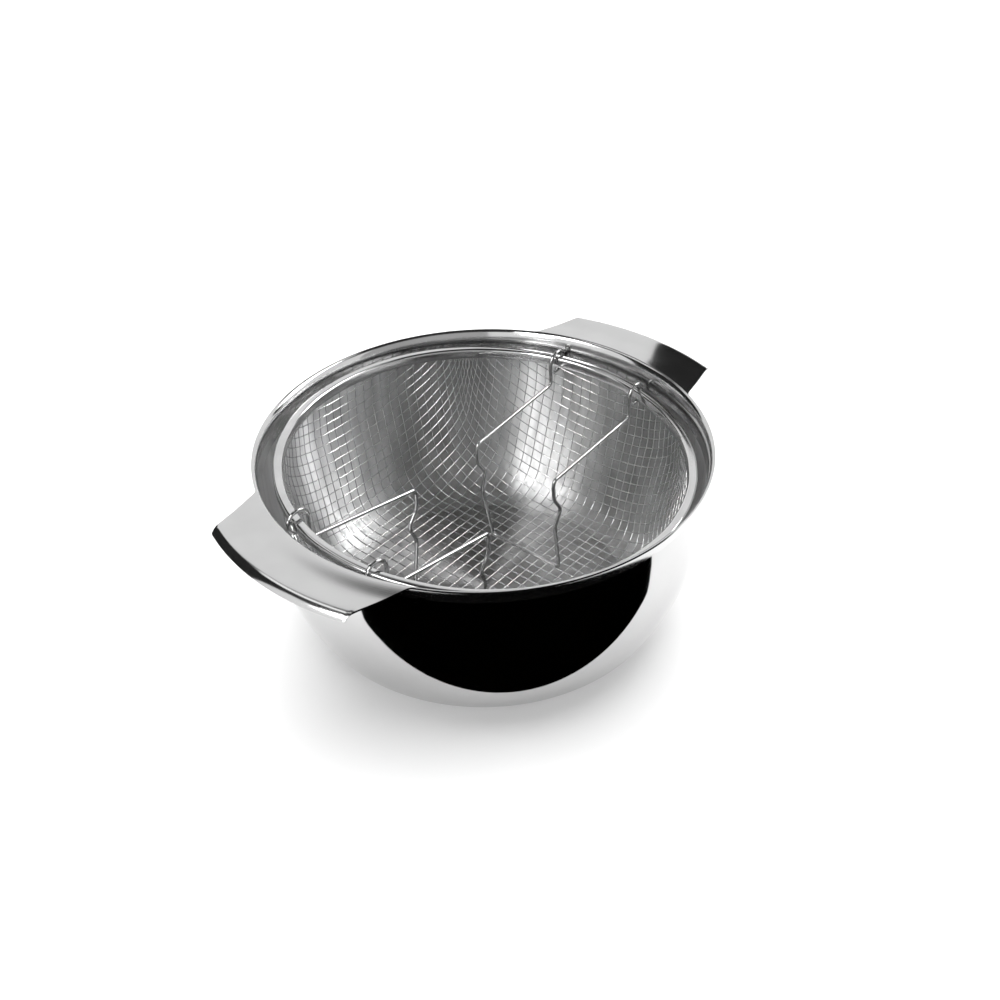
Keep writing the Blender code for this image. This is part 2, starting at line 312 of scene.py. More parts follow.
def transported_normals(path, first):
    """A normal for each point of a path, carried along it without twist."""
    path = np.asarray(path)
    tangents = np.gradient(path, axis=0)
    tangents /= np.linalg.norm(tangents, axis=1)[:, None]
    normal = np.asarray(first, float)
    normals = []
    for tangent in tangents:
        normal = normal - tangent * np.dot(normal, tangent)
        normal = normal / np.linalg.norm(normal)
        normals.append(normal)
    return np.array(normals)


# --- materials -----------------------------------------------------------------------------------

def new_material(name):
    material = bpy.data.materials.new(name)
    material.use_nodes = True
    tree = material.node_tree
    return material, tree, tree.nodes["Principled BSDF"]


def stretched_noise(tree, scale, detail, stretch):
    """Noise on the object's own coordinates, stretched by a factor along each axis."""
    place = tree.nodes.new("ShaderNodeTexCoord")
    mapping = tree.nodes.new("ShaderNodeMapping")
    mapping.inputs["Scale"].default_value = stretch
    noise = tree.nodes.new("ShaderNodeTexNoise")
    noise.inputs["Scale"].default_value = scale
    noise.inputs["Detail"].default_value = detail
    tree.links.new(place.outputs["Object"], mapping.inputs["Vector"])
    tree.links.new(mapping.outputs["Vector"], noise.inputs["Vector"])
    return noise.outputs["Fac"]


def circle_noise(tree, scale, detail):
    """Noise that only changes with radius and height: the fine rings that polishing leaves."""
    place = tree.nodes.new("ShaderNodeTexCoord")
    flat = tree.nodes.new("ShaderNodeVectorMath")
    flat.operation = "MULTIPLY"
    flat.inputs[1].default_value = (1.0, 1.0, 0.0)
    radius = tree.nodes.new("ShaderNodeVectorMath")
    radius.operation = "LENGTH"
    split = tree.nodes.new("ShaderNodeSeparateXYZ")
    join = tree.nodes.new("ShaderNodeCombineXYZ")
    noise = tree.nodes.new("ShaderNodeTexNoise")
    noise.inputs["Scale"].default_value = scale
    noise.inputs["Detail"].default_value = detail
    tree.links.new(place.outputs["Object"], flat.inputs[0])
    tree.links.new(flat.outputs["Vector"], radius.inputs[0])
    tree.links.new(place.outputs["Object"], split.inputs["Vector"])
    tree.links.new(radius.outputs["Value"], join.inputs["X"])
    tree.links.new(split.outputs["Z"], join.inputs["Y"])
    tree.links.new(join.outputs["Vector"], noise.inputs["Vector"])
    return noise.outputs["Fac"]


def ranged(tree, value, low, high):
    """The value mapped from the noise's usual range to low and high."""
    mapped = tree.nodes.new("ShaderNodeMapRange")
    mapped.inputs["From Min"].default_value = NOISE_RANGE[0]
    mapped.inputs["From Max"].default_value = NOISE_RANGE[1]
    mapped.inputs["To Min"].default_value = low
    mapped.inputs["To Max"].default_value = high
    tree.links.new(value, mapped.inputs["Value"])
    return mapped.outputs["Result"]


def grey(value):
    return (value, value, value, 1.0)


def shade_mix(tree, value, dark, light):
    """A grey between dark and light."""
    mix = tree.nodes.new("ShaderNodeMix")
    mix.data_type = "RGBA"
    mix.inputs["A"].default_value = grey(dark)
    mix.inputs["B"].default_value = grey(light)
    tree.links.new(value, mix.inputs["Factor"])
    return mix.outputs["Result"]


def bumped(tree, height, distance):
    bump = tree.nodes.new("ShaderNodeBump")
    bump.inputs["Distance"].default_value = distance
    bump.inputs["Strength"].default_value = 1.0
    tree.links.new(height, bump.inputs["Height"])
    return bump.outputs["Normal"]


def metal(name, dark, light, roughness, cloud, grain, brushed=0.0):
    """A metal with a cloudy grey and roughness, and a grain of fine lines.

    The grey goes from dark to light, and the roughness between its two values. cloud is the scale
    and stretch of the smudges. grain is the lines' scale, stretch and depth; with no stretch they
    are rings round the Z axis. brushed is how far the finish draws reflections out across those
    rings.
    """
    material, tree, shader = new_material(name)
    smudge = stretched_noise(tree, cloud[0], SMUDGE_DETAIL, cloud[1])
    tone = ranged(tree, smudge, 0.0, 1.0)
    tree.links.new(shade_mix(tree, tone, dark, light), shader.inputs["Base Color"])
    tree.links.new(ranged(tree, smudge, *roughness), shader.inputs["Roughness"])
    shader.inputs["Metallic"].default_value = 1.0
    scale, stretch, depth = grain
    if stretch:
        lines = stretched_noise(tree, scale, GRAIN_DETAIL, stretch)
    else:
        lines = circle_noise(tree, scale, GRAIN_DETAIL)
    tree.links.new(bumped(tree, lines, depth), shader.inputs["Normal"])
    if brushed:
        tangent = tree.nodes.new("ShaderNodeTangent")
        tangent.direction_type = "RADIAL"
        tangent.axis = "Z"
        tree.links.new(tangent.outputs["Tangent"], shader.inputs["Tangent"])
        shader.inputs["Anisotropic"].default_value = brushed
        shader.inputs["Anisotropic Rotation"].default_value = ACROSS_RINGS
    return material


def make_materials():
    return {
        "polished": metal("polished_steel", 0.52, 0.58, (0.03, 0.06), (14.0, EVEN),
                          (40.0, (1.0, 1.0, 0.3), 0.000002)),
        "lip": metal("lip_steel", 0.58, 0.65, (0.10, 0.15), (30.0, EVEN),
                     (1600.0, None, 0.000004), 0.7),
        "satin": metal("satin_steel", 0.45, 0.69, (0.34, 0.42), SATIN_CLOUD, SATIN_GRAIN, 1.0),
        # The floor's satin steel with painted shade: a darker grey for the dark ceiling it reflects
        "bottom": metal("floor_steel_painted_shade", 0.32, 0.48, (0.34, 0.42), SATIN_CLOUD, SATIN_GRAIN, 1.0),
        "turned": metal("turned_steel", 0.50, 0.58, (0.22, 0.34), (18.0, EVEN),
                        (900.0, None, 0.00001), 0.8),
        "rim": metal("rim_steel", 0.58, 0.68, (0.06, 0.13), (45.0, EVEN),
                     (700.0, (1.0, 1.0, 0.2), 0.000004)),
        # The mesh wire's steel with a painted highlight: a lighter grey than the pan's, for bright
        # glints
        "wire": metal("bright_wire", 0.64, 0.75, (0.08, 0.14), (60.0, EVEN),
                      (1500.0, EVEN, 0.000003)),
        # The bails' steel with painted shade: a darker grey than the steel, for the dark studio they
        # reflect
        "bail": metal("bail_steel_painted_shade", 0.42, 0.52, (0.05, 0.10), (50.0, EVEN),
                      (1200.0, EVEN, 0.000003)),
        "aluminium": metal("rolled_aluminium", 0.68, 0.76, (0.35, 0.50), (30.0, EVEN),
                           (600.0, (1.0, 0.05, 1.0), 0.00001)),
    }


# --- pan -----------------------------------------------------------------------------------------

def pan_profile():
    """The sheet's outer face from its flat underside up to the edge of the rim."""
    rim = PAN_HEIGHT - SHEET
    wall_centre = (WALL_RADIUS - WALL_ARC, rim - STRAIGHT_WALL)
    reach = WALL_ARC - CORNER_ARC
    corner_height = UNDERSIDE + CORNER_ARC
    across = math.sqrt(reach ** 2 - (wall_centre[1] - corner_height) ** 2)
    corner_centre = (wall_centre[0] + across, corner_height)
    meeting = math.degrees(math.atan2(corner_height - wall_centre[1], across))
    points = [(part * corner_centre[0], UNDERSIDE) for part in (0.1, 0.3, 0.5, 0.7, 0.9)]
    points += arc(corner_centre, CORNER_ARC, -90.0, meeting, PROFILE_STEPS)
    points += arc(wall_centre, WALL_ARC, meeting, 0.0, PROFILE_STEPS)[1:]
    straight = STRAIGHT_WALL - LIP_HEIGHT
    points += [(WALL_RADIUS, wall_centre[1] + straight * part) for part in (0.25, 0.5, 0.75)]
    for step in range(LIP_STEPS + 1):
        angle = math.radians(90.0 * step / LIP_STEPS)
        points.append((WALL_RADIUS + (RIM_RADIUS - WALL_RADIUS) * (1.0 - math.cos(angle)),
                       rim - LIP_HEIGHT * (1.0 - math.sin(angle))))
    return points


def wing_height(radius):
    """Height of the sheet's underside past the rim: a slight dish behind it, then a turned-down tip."""
    rim = PAN_HEIGHT - SHEET
    if radius > CREASE_RADIUS:
        along = (radius - CREASE_RADIUS) / (TIP_RADIUS - CREASE_RADIUS)
        return rim - TIP_DROP * along ** 2
    along = (radius - RIM_RADIUS) / (CREASE_RADIUS - RIM_RADIUS)
    return rim - DISH_DEPTH * math.sin(math.pi * along) ** 2


def wing_fillet():
    """Centre of the small round in the corner between a handle's side and the rim."""
    normal = Vector((math.sin(SIDE_TAPER), math.cos(SIDE_TAPER)))
    along = Vector((math.cos(SIDE_TAPER), -math.sin(SIDE_TAPER)))
    outward = normal.dot(TIP_CORNER) + ROOT_FILLET
    sideways = math.sqrt((RIM_RADIUS + ROOT_FILLET) ** 2 - outward ** 2)
    return normal * outward + along * sideways, normal


def outline_radius(angle):
    """How far the sheet reaches at an angle in degrees, measured from the nearest handle's middle."""
    centre, normal = wing_fillet()
    angle = math.radians(abs(angle))
    if angle <= math.atan2(TIP_CORNER.y, TIP_CORNER.x):
        return TIP_RADIUS
    if angle >= math.atan2(centre.y, centre.x):
        return RIM_RADIUS
    ray = Vector((math.cos(angle), math.sin(angle)))
    touch = centre - normal * ROOT_FILLET
    if angle <= math.atan2(touch.y, touch.x):
        return normal.dot(TIP_CORNER) / normal.dot(ray)
    middle = ray.dot(centre)
    return middle - math.sqrt(middle ** 2 - centre.length_squared + ROOT_FILLET ** 2)


def column_angles():
    """Angles of the sheet's radial sections, closer together where a handle's side is cut."""
    corner = math.degrees(math.atan2(TIP_CORNER.y, TIP_CORNER.x))
    side = [corner + SIDE_COLUMN_STEP * step for step in range(SIDE_COLUMNS)]
    angles = [step * COLUMN_STEP for step in range(int(90 / COLUMN_STEP))]
    before = [angle for angle in angles if angle < corner - COLUMN_GAP]
    after = [angle for angle in angles if angle > side[-1] + COLUMN_GAP]
    angles = before + side + after
    return [-angle for angle in reversed(angles) if angle > 0] + angles


def skin(shape, inner, outer):
    """Faces between two rows of points, leaving out the edges that have shrunk to a point."""
    for index in range(len(inner)):
        following = (index + 1) % len(inner)
        loop = []
        for corner in (inner[index], inner[following], outer[following], outer[index]):
            if corner not in loop:
                loop.append(corner)
        if len(loop) > 2:
            shape.faces.new(loop)


def polar(angle, radius, height):
    return (radius * math.cos(angle), radius * math.sin(angle), height)


def build_pan(materials):
    shape = bmesh.new()
    half = column_angles() + [90.0]
    columns = [(math.radians(angle), outline_radius(angle)) for angle in half]
    columns += [(math.radians(angle + 180.0), outline_radius(angle)) for angle in half]
    profile = pan_profile()
    rows = []
    for radius, height in profile:
        rows.append([shape.verts.new(polar(angle, radius, height)) for angle, _ in columns])
    middle = shape.verts.new((0.0, 0.0, UNDERSIDE))
    for index in range(len(columns)):
        shape.faces.new((middle, rows[0][(index + 1) % len(columns)], rows[0][index]))
    crease = (CREASE_RADIUS - RIM_RADIUS) / (TIP_RADIUS - RIM_RADIUS)
    parts = [crease * step / WING_ROWS for step in range(1, WING_ROWS + 1)]
    parts += [crease + (1.0 - crease) * step / TIP_ROWS for step in range(1, TIP_ROWS + 1)]
    for part in parts:
        row = []
        for index, (angle, reach) in enumerate(columns):
            radius = RIM_RADIUS + part * (reach - RIM_RADIUS)
            if reach - RIM_RADIUS < SHRUNK:
                row.append(rows[len(profile) - 1][index])
            else:
                row.append(shape.verts.new(polar(angle, radius, wing_height(radius))))
        rows.append(row)
    for inner, outer in zip(rows, rows[1:]):
        skin(shape, inner, outer)
    mesh = bpy.data.meshes.new("pan")
    shape.to_mesh(mesh)
    shape.free()
    mesh.shade_smooth()
    pan = add_object("pan", mesh, *(materials[finish] for finish in PAN_FINISHES))
    add_modifier(pan, "sheet", "SOLIDIFY", thickness=SHEET, offset=-1.0)
    add_modifier(pan, "edge", "BEVEL", width=EDGE_ROUND, segments=3, limit_method="ANGLE",
                 angle_limit=math.radians(50.0), use_clamp_overlap=True)
    apply_modifiers(pan)
    mark_finishes(pan.data)
    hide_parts("pot_body")
    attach(pan, "pot")


def mark_finishes(mesh):
    """Brushed satin inside, painted shade on the floor; softer polish on lip and handles; mirror
    outside.
    """
    for face in mesh.polygons:
        radius = math.hypot(face.center.x, face.center.y)
        inward = face.normal.x * face.center.x + face.normal.y * face.center.y < 0.0
        inside = radius < WALL_RADIUS and (inward or face.normal.z > 0.5)
        # Floor faces inside this radius take the painted shade
        if inside and radius < PAINTED_SHADE_RADIUS:
            face.material_index = PAN_FINISHES.index("bottom")
        elif inside and face.center.z < SATIN_TOP:
            face.material_index = PAN_FINISHES.index("satin")
        elif radius > WALL_RADIUS or inside:
            face.material_index = PAN_FINISHES.index("lip")


# --- base ----------------------------------------------------------------------------------------

def turned(name, outline, steps):
    """A closed outline in the plane of radius and height, turned about Z."""
    points = []
    for step in range(steps):
        angle = math.tau * step / steps
        points += [polar(angle, radius, height) for radius, height in outline]
    count = len(outline)
    faces = []
    for step in range(steps):
        here = step * count
        there = ((step + 1) % steps) * count
        for index in range(count):
            following = (index + 1) % count
            faces.append((here + index, there + index, there + following, here + following))
    shape = bmesh.new()
    mesh = mesh_from(name, points, faces)
    shape.from_mesh(mesh)
    bmesh.ops.remove_doubles(shape, verts=shape.verts, dist=MERGE)
    bmesh.ops.dissolve_degenerate(shape, edges=shape.edges, dist=MERGE)
    bmesh.ops.recalc_face_normals(shape, faces=shape.faces)
    shape.to_mesh(mesh)
    shape.free()
    mesh.shade_smooth()
    mesh.set_sharp_from_angle(angle=math.radians(40.0))
    return mesh


def build_base_cap(materials):
    """The thin cup under the base, with a softly rounded lower edge."""
    inner = CAP_RADIUS - CAP_WALL
    outline = [(0.0, 0.0), (0.3 * inner, 0.0), (0.8 * inner, 0.0)]
    outline += arc((CAP_RADIUS - CAP_ROUND, CAP_ROUND), CAP_ROUND, -90.0, 0.0, 6)
    outline += [(CAP_RADIUS, CAP_HEIGHT), (inner, CAP_HEIGHT), (inner, CAP_WALL), (0.0, CAP_WALL)]
    cap = add_object("base_cup", turned("base_cup", outline, TURN_STEPS), materials["turned"])
    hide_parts("base_cap")
    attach(cap, "pot")


# --- basket --------------------------------------------------------------------------------------

def basket_matrix():
    """Where the basket's rim sits: at the middle of its top, turned and tipped in the pan."""
    place = Matrix.Translation((*BASKET_SHIFT, PAN_HEIGHT - BASKET_DROP))
    tilt = Matrix.Rotation(BASKET_TILT_X, 4, "X") @ Matrix.Rotation(BASKET_TILT_Y, 4, "Y")
    return place @ tilt @ Matrix.Rotation(BASKET_TURN, 4, "Z")


def ring_outline():
    """Section of the rolled rim strip: a rounded top with one side down inside, one outside."""
    skin_in = RING_ROUND - RING_SHEET
    left = (RING_INNER + RING_ROUND, -RING_ROUND)
    right = (RING_OUTER - RING_ROUND, -RING_ROUND)
    outline = arc(right, skin_in, 0.0, 90.0, 6) + arc(left, skin_in, 90.0, 180.0, 6)
    outline.append((RING_INNER + RING_SHEET, -RING_INSIDE_HEIGHT + RING_CHAMFER))
    outline.append((RING_INNER + 0.7 * RING_SHEET, -RING_INSIDE_HEIGHT))
    outline.append((RING_INNER + 0.3 * RING_SHEET, -RING_INSIDE_HEIGHT))
    outline.append((RING_INNER, -RING_INSIDE_HEIGHT + RING_CHAMFER))
    outline.append((RING_INNER, -0.5 * (RING_INSIDE_HEIGHT + RING_ROUND)))
    outline += arc(left, RING_ROUND, 180.0, 90.0, 8) + arc(right, RING_ROUND, 90.0, 0.0, 8)
    outline.append((RING_OUTER, -0.5 * (RING_OUTSIDE_HEIGHT + RING_ROUND)))
    outline.append((RING_OUTER, -RING_OUTSIDE_HEIGHT + RING_CHAMFER))
    outline.append((RING_OUTER - 0.3 * RING_SHEET, -RING_OUTSIDE_HEIGHT))
    outline.append((RING_OUTER - 0.7 * RING_SHEET, -RING_OUTSIDE_HEIGHT))
    outline.append((RING_OUTER - RING_SHEET, -RING_OUTSIDE_HEIGHT + RING_CHAMFER))
    return outline


def ring_wobble(angle):
    """How far the strip is out of round at an angle."""
    return sum(depth * math.sin(waves * angle + phase) for depth, waves, phase in RING_WAVES)


def build_ring(materials, place):
    outline = ring_outline()
    half_gap = 0.5 * SEAM_GAP / RING_OUTER
    points = []
    for step in range(RING_STEPS + 1):
        angle = SEAM_ANGLE + half_gap + (math.tau - 2.0 * half_gap) * step / RING_STEPS
        wobble = ring_wobble(angle)
        for radius, height in outline:
            points.append(place @ Vector(polar(angle, radius + wobble, height)))
    count = len(outline)
    faces = []
    for step in range(RING_STEPS):
        for index in range(count):
            following = (index + 1) % count
            here = step * count
            faces.append((here + index, here + count + index,
                          here + count + following, here + following))
    faces.append(tuple(range(count)))
    faces.append(tuple(RING_STEPS * count + index for index in reversed(range(count))))
    mesh = mesh_from("rim_strip", points, faces)
    shape = bmesh.new()
    shape.from_mesh(mesh)
    bmesh.ops.recalc_face_normals(shape, faces=shape.faces)
    shape.to_mesh(mesh)
    shape.free()
    mesh.set_sharp_from_angle(angle=math.radians(50.0))
    ring = add_object("rim_strip", mesh, materials["rim"])
    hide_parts("basket_rim")
    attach(ring, "basket")


def basket_profile():
    """Middle surface of the woven basket, by length from its floor's middle to past its rim."""
    corner = (MESH_FLOOR_RADIUS, MESH_FLOOR + MESH_CORNER)
    wall_end = (MESH_RADIUS, MESH_STRAIGHT)
    run = math.hypot(wall_end[0] - corner[0], wall_end[1] - corner[1])
    lean = math.acos(MESH_CORNER / run)
    facing = math.degrees(math.atan2(wall_end[1] - corner[1], wall_end[0] - corner[0]) - lean)
    points = [(0.0, MESH_FLOOR)] + arc(corner, MESH_CORNER, -90.0, facing, 3 * PROFILE_STEPS)
    points += [wall_end, (MESH_RADIUS, MESH_LAID_TO)]
    points = np.array(points)
    lengths = np.concatenate([[0.0], np.cumsum(np.linalg.norm(np.diff(points, axis=0), axis=1))])
    return lengths, points


class Surface:
    """The basket's surface of revolution: a point and its outward normal from length and angle."""

    def __init__(self):
        self.lengths, self.points = basket_profile()

    def point(self, length, angle):
        radius = np.interp(length, self.lengths, self.points[:, 0])
        height = np.interp(length, self.lengths, self.points[:, 1])
        return np.array([radius * math.cos(angle), radius * math.sin(angle), height])

    def normal(self, length, angle):
        ahead = self.point(length + NORMAL_STEP, angle)
        behind = self.point(max(length - NORMAL_STEP, 0.0), angle)
        along = (ahead - behind) / np.linalg.norm(ahead - behind)
        around = np.array([-math.sin(angle), math.cos(angle), 0.0])
        return np.cross(around, along)


def next_knot(surface, first, second, guess):
    """The point on the surface one pitch from both neighbours, by Newton's method."""
    length, angle = guess
    for _ in range(KNOT_ROUNDS):
        here = surface.point(length, angle)
        miss = np.array([np.linalg.norm(here - first) - MESH_PITCH,
                         np.linalg.norm(here - second) - MESH_PITCH])
        if np.max(np.abs(miss)) < KNOT_CLOSENESS:
            break
        turn = KNOT_STEP / max(math.hypot(here[0], here[1]), KNOT_RADIUS)
        by_length = surface.point(length + KNOT_STEP, angle)
        by_angle = surface.point(length, angle + turn)
        slope = np.array([[np.linalg.norm(by_length - first) - np.linalg.norm(here - first),
                           np.linalg.norm(by_angle - first) - np.linalg.norm(here - first)],
                          [np.linalg.norm(by_length - second) - np.linalg.norm(here - second),
                           np.linalg.norm(by_angle - second) - np.linalg.norm(here - second)]])
        change = np.linalg.lstsq(slope, -miss, rcond=None)[0]
        change = np.clip(change, -KNOT_MOVE, KNOT_MOVE)
        length += change[0] * KNOT_STEP
        angle += change[1] * turn
    return length, angle


def woven_net(surface):
    """Knots of one quarter of a square net draped over the basket, as (length, angle) by row.

    The two middle wires run straight out from the floor's middle and up the wall. Every other
    knot lies one pitch from its two inner neighbours, so the squares lean into diamonds where
    the net gathers between the middle wires.
    """
    count = int(surface.lengths[-1] / MESH_PITCH)
    net = {}
    for index in range(count + 1):
        net[index, 0] = (index * MESH_PITCH, 0.0)
        net[0, index] = (index * MESH_PITCH, math.pi / 2)
    for row in range(1, count + 1):
        for column in range(row, count + 1):
            for a, b in ((column, row), (row, column)):
                if (a, b) in net or (a - 1, b) not in net or (a, b - 1) not in net:
                    continue
                first = net[a - 1, b]
                second = net[a, b - 1]
                inner = net[a - 1, b - 1]
                if min(first[0], second[0]) > surface.lengths[-1] - 2 * MESH_PITCH:
                    continue
                flat = [surface.point(*knot) for knot in (first, second, inner)]
                ahead = flat[0] + flat[1] - flat[2]
                angle = math.atan2(ahead[1], ahead[0])
                length = first[0] + second[0] - inner[0]
                net[a, b] = next_knot(surface, flat[0], flat[1], (length, angle))
    return net


def mirrored_knot(surface, net, a, b):
    """Point and normal of a knot in any quarter, from the first quarter's net."""
    knot = net.get((abs(a), abs(b)))
    if knot is None:
        return None
    point = surface.point(*knot)
    normal = surface.normal(*knot)
    flip = np.array([1.0 if a >= 0 else -1.0, 1.0 if b >= 0 else -1.0, 1.0])
    return point * flip, normal * flip


def wire_knots(surface, net, fixed, along_first):
    """One wire's knots from rim to rim, with the knot's weave side."""
    knots = []
    for direction in (-1, 1):
        run = []
        step = 0 if direction > 0 else 1
        while True:
            a, b = (direction * step, fixed) if along_first else (fixed, direction * step)
            knot = mirrored_knot(surface, net, a, b)
            if knot is None:
                break
            side = 1.0 if (a + b + (0 if along_first else 1)) % 2 == 0 else -1.0
            run.append((*knot, side))
            if knot[0][2] > MESH_TOP:
                break
            step += 1
        knots = list(reversed(run)) if direction < 0 else knots + run
    return knots


def wire_path(knots):
    """A smooth path through the knots, a little off the net's surface on one side and the other."""
    path = []
    normals = []
    points = [knot[0] for knot in knots]
    points = [2 * points[0] - points[1]] + points + [2 * points[-1] - points[-2]]
    for index in range(len(knots) - 1):
        before, start, end, after = points[index:index + 4]
        for step in range(WEAVE_STEPS):
            part = step / WEAVE_STEPS
            spot = 0.5 * (2 * start + (end - before) * part
                          + (2 * before - 5 * start + 4 * end - after) * part ** 2
                          + (3 * start - before - 3 * end + after) * part ** 3)
            normal = knots[index][1] * (1 - part) + knots[index + 1][1] * part
            normal = normal / np.linalg.norm(normal)
            lift = MESH_WAVE * knots[index][2] * math.cos(math.pi * part)
            path.append(spot + normal * lift)
            normals.append(normal)
    path.append(knots[-1][0] + knots[-1][1] * MESH_WAVE * knots[-1][2])
    normals.append(knots[-1][1])
    return np.array(path), np.array(normals)


def trim_path(path, normals):
    """Cuts both ends of a path off level, just under the top of the rim strip's inner side."""
    inside = np.nonzero(path[:, 2] <= MESH_TOP)[0]
    if len(inside) < 4:
        return None
    first, last = inside[0], inside[-1]
    pieces = [path[first:last + 1]]
    facing = [normals[first:last + 1]]
    if first > 0:
        share = (MESH_TOP - path[first, 2]) / (path[first - 1, 2] - path[first, 2])
        pieces.insert(0, (path[first] + share * (path[first - 1] - path[first]))[None])
        facing.insert(0, normals[first][None])
    if last < len(path) - 1:
        share = (MESH_TOP - path[last, 2]) / (path[last + 1, 2] - path[last, 2])
        pieces.append((path[last] + share * (path[last + 1] - path[last]))[None])
        facing.append(normals[last][None])
    return np.concatenate(pieces), np.concatenate(facing)


def loop_centres():
    """The middle of each bail's loops and the hinge's direction, in the basket's own frame."""
    spots = []
    for name in BAILS:
        hinge = hinge_place(name)
        for side in (1, -1):
            spots.append((hinge @ Vector((0.0, side * LOOP_SPREAD, 0.0)), hinge.to_3x3().col[1]))
    return spots


def part_round_loops(path):
    """Pushes a mesh wire aside, along the hinge, where a bail's loop passes through the mesh."""
    clearance = 0.5 * (BAIL_WIRE + MESH_WIRE) + LOOP_GAP
    for centre, direction in loop_centres():
        axis = np.array(direction)
        offset = path - np.array(centre)
        along = offset @ axis
        flat = offset - along[:, None] * axis
        distance = np.linalg.norm(flat, axis=1)
        near = np.abs(distance - LOOP_RADIUS) < clearance
        close = near & (np.abs(along) < clearance)
        push = clearance - np.hypot(along, distance - LOOP_RADIUS)
        push = np.where(close & (push > 0.0), push, 0.0)
        path = path + (np.sign(along) * push)[:, None] * axis
    return path


def build_mesh(materials, place):
    surface = Surface()
    net = woven_net(surface)
    count = int(surface.lengths[-1] / MESH_PITCH)
    points = []
    faces = []
    total = 0
    rotation = np.array(place.to_3x3())
    for along_first in (True, False):
        for fixed in range(-count, count + 1):
            knots = wire_knots(surface, net, fixed, along_first)
            if len(knots) < 3:
                continue
            trimmed = trim_path(*wire_path(knots))
            if trimmed is None:
                continue
            path = part_round_loops(trimmed[0]) @ rotation.T + np.array(place.translation)
            normals = trimmed[1] @ rotation.T
            tube, loops = sweep(path, normals, 0.5 * MESH_WIRE, WIRE_SIDES, total)
            points.append(tube)
            faces += loops
            total += len(tube)
    mesh = mesh_from("woven_mesh", np.concatenate(points), faces)
    woven = add_object("woven_mesh", mesh, materials["wire"])
    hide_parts("basket_mesh")
    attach(woven, "basket")


# --- bails ---------------------------------------------------------------------------------------

def hinge_place(name):
    """A bail's hinge in the basket's frame: +Y along the hinge, -X towards the basket's middle."""
    turn, aside, swing, _ = BAILS[name]
    spot = Matrix.Rotation(turn, 4, "Z") @ Vector((HINGE_REACH, aside, HINGE_LEVEL))
    return Matrix.Translation(spot) @ Matrix.Rotation(turn, 4, "Z") @ Matrix.Rotation(swing, 4, "Y")


def rounded(points, radius, steps):
    """The same path with each corner replaced by a short curve."""
    path = [points[0]]
    for before, corner, after in zip(points, points[1:], points[2:]):
        cut_length = min(radius, 0.45 * (before - corner).length, 0.45 * (after - corner).length)
        start = corner + (before - corner).normalized() * cut_length
        end = corner + (after - corner).normalized() * cut_length
        for step in range(steps + 1):
            part = step / steps
            path.append(start * (1 - part) ** 2 + corner * 2 * part * (1 - part) + end * part ** 2)
    path.append(points[-1])
    return path


def bail_path(lean):
    """The wire's centre line about its hinge, from one loop's tail to the other's."""
    loop = [Vector((x, LOOP_SPREAD, z))
            for x, z in arc((0.0, 0.0), LOOP_RADIUS, TAIL_ANGLE, 180.0, LOOP_STEPS)]
    shoulder = Vector((-LOOP_RADIUS, 0.9 * LOOP_SPREAD + 0.1 * ARM_SPREAD, -STAND_OFF))
    elbow = Vector((-ARM_REACH, ARM_SPREAD, -ELBOW_DROP))
    arm = [shoulder, elbow]
    for back, down, inwards in ARM_SHAPE:
        arm.append(elbow + Vector((back, -inwards, -down)))
    mirrored = [Vector((point.x, -point.y, point.z)) for point in reversed(arm)]
    leaning = [point + Vector((0.0, lean * point.z, 0.0)) for point in arm + mirrored]
    far_loop = [Vector((point.x, -point.y, point.z)) for point in reversed(loop)]
    bends = rounded([loop[-1]] + leaning + [far_loop[0]], BEND_RADIUS, BEND_STEPS)
    return loop[:-1] + bends + far_loop[1:]


def build_bail(name, materials, place):
    hinge = place @ hinge_place(name)
    path = [hinge @ point for point in bail_path(BAILS[name][-1])]
    normals = transported_normals(path, hinge.to_3x3() @ Vector((0.0, 1.0, 0.0)))
    points, faces = sweep(path, normals, 0.5 * BAIL_WIRE, BAIL_SIDES, 0)
    mesh = mesh_from(name + "_wire", points, faces)
    mesh.set_sharp_from_angle(angle=math.radians(60.0))
    bail = add_object(name + "_wire", mesh, materials["bail"])
    add_modifier(bail, "ends", "BEVEL", width=END_ROUND, segments=3, limit_method="ANGLE",
                 angle_limit=math.radians(60.0))
    apply_modifiers(bail)
    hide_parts(name)
    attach(bail, name)


# --- studio --------------------------------------------------------------------------------------

def place_camera():
    """The viewing angle, worked out in a frame whose +Y points away from the eye."""
    eye = Vector((0.0, -EYE_DISTANCE * math.cos(EYE_ELEVATION),
                  EYE_DISTANCE * math.sin(EYE_ELEVATION)))
    ahead = -eye.normalized()
    right = Vector((1.0, 0.0, 0.0))
    up = right.cross(ahead)
    yawed = ahead * math.cos(EYE_YAW) + right * math.sin(EYE_YAW)
    right = right * math.cos(EYE_YAW) - ahead * math.sin(EYE_YAW)
    back = -(yawed * math.cos(EYE_PITCH) + up * math.sin(EYE_PITCH))
    up = up * math.cos(EYE_PITCH) - yawed * math.sin(EYE_PITCH)
    rolled_right = right * math.cos(EYE_ROLL) + up * math.sin(EYE_ROLL)
    rolled_up = up * math.cos(EYE_ROLL) - right * math.sin(EYE_ROLL)
    axes = Matrix((rolled_right, rolled_up, back)).transposed().to_4x4()
    to_part = Matrix.Rotation(-HANDLE_AZIMUTH, 4, "Z")
    rim_middle = Matrix.Translation((0.0, 0.0, PAN_HEIGHT))
    camera = bpy.data.objects.new("camera", bpy.data.cameras.new("camera"))
    camera.data.sensor_width = SENSOR_WIDTH
    camera.data.lens = LENS
    camera.data.clip_start = NEAR_CLIP
    camera.matrix_world = rim_middle @ to_part @ Matrix.Translation(eye) @ axes
    bpy.context.scene.collection.objects.link(camera)
    bpy.context.scene.camera = camera


def in_part(matrix):
    """Turns a place given in the camera's frame, +Y away from the eye, into the part's frame."""
    return Matrix.Rotation(-HANDLE_AZIMUTH, 4, "Z") @ matrix


